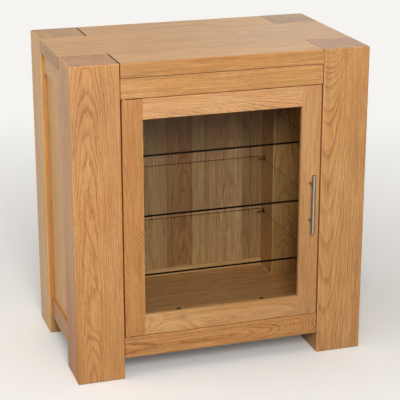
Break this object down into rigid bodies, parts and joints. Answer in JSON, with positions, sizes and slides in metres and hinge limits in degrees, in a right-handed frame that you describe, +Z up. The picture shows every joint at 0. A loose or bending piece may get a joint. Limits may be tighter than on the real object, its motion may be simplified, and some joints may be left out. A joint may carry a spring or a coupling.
{
  "type": "tv unit",
  "caption": "Solid oak media cabinet on thick corner legs, with a hinged glazed door over glass shelves that hold players and boxes under a television.",
  "frame": {"origin": "on the floor, under the middle of the whole cabinet, handle included", "axes": "+Z up, +X to the right seen from the front, +Y from the door to the back"},
  "size_m": [0.75, 0.4794, 0.8],
  "materials": {
    "oak_leg": "satin lacquer, upright grain",
    "oak_top": "satin lacquer, staves along the width",
    "oak_rail": "satin lacquer",
    "oak_panel": "satin lacquer, upright boards",
    "oak_inside": "satin lacquer",
    "oak_door": "satin lacquer",
    "door_glass": "clear",
    "shelf_glass": "clear, polished edges",
    "handle_steel": "brushed",
    "support_metal": "dark bronze",
    "hinge_brass": "satin",
    "plain_steel": "bright zinc",
    "screw_zinc": "yellow zinc",
    "clear_pad": "clear, soft",
    "clip_plastic": "dark",
    "catch_plastic": "brown",
    "magnet": "plain"
  },
  "bodies": {
    "carcass": {"leg_front_left": "oak_leg", "leg_front_right": "oak_leg", "leg_rear_left": "oak_leg", "leg_rear_right": "oak_leg", "top_plank": "oak_top", "front_apron": "oak_rail", "plinth_rail": "oak_rail", "rear_top_rail": "oak_rail", "rear_bottom_rail": "oak_rail", "side_top_rail_left": "oak_rail", "side_top_rail_right": "oak_rail", "side_bottom_rail_left": "oak_rail", "side_bottom_rail_right": "oak_rail", "side_panel_left": "oak_panel", "side_panel_right": "oak_panel", "back_board_1": "oak_panel", "back_board_2": "oak_panel", "back_board_3": "oak_panel", "back_board_4": "oak_panel", "back_board_5": "oak_panel", "back_board_6": "oak_panel", "back_board_7": "oak_panel", "floor_panel": "oak_inside", "floor_batten_front": "oak_inside", "floor_batten_rear": "oak_inside", "floor_batten_left": "oak_inside", "floor_batten_right": "oak_inside", "catch_block": "oak_inside", "glass_shelf_upper": "shelf_glass", "glass_shelf_middle": "shelf_glass", "glass_shelf_lower": "shelf_glass", "shelf_supports_upper": "support_metal", "shelf_supports_middle": "support_metal", "shelf_supports_lower": "support_metal", "hinge_frame_leaves": "hinge_brass", "hinge_frame_screws": "hinge_brass", "hinge_pins": "plain_steel", "hinge_washers": "plain_steel", "top_brackets": "plain_steel", "floor_batten_screws": "screw_zinc", "top_bracket_screws": "screw_zinc", "catch_screws": "screw_zinc", "shelf_pads": "clear_pad", "catch_body": "catch_plastic", "catch_magnet": "magnet"},
    "door": {"door_stile_hinge": "oak_door", "door_stile_handle": "oak_door", "door_rail_top": "oak_door", "door_rail_bottom": "oak_door", "door_glass": "door_glass", "glass_clips": "clip_plastic", "glass_clip_screws": "plain_steel", "hinge_door_leaves": "hinge_brass", "hinge_door_screws": "hinge_brass", "handle_bar": "handle_steel", "handle_posts": "handle_steel", "handle_screws": "plain_steel", "catch_strike": "plain_steel", "catch_strike_screw": "plain_steel"}
  },
  "joints": [
    {"name": "door_hinge", "type": "hinge", "parent": "carcass", "child": "door", "pos_m": [-0.245, -0.20075, 0.41125], "axis": [0, 0, -1], "range_deg": [0, 105]}
  ]
}
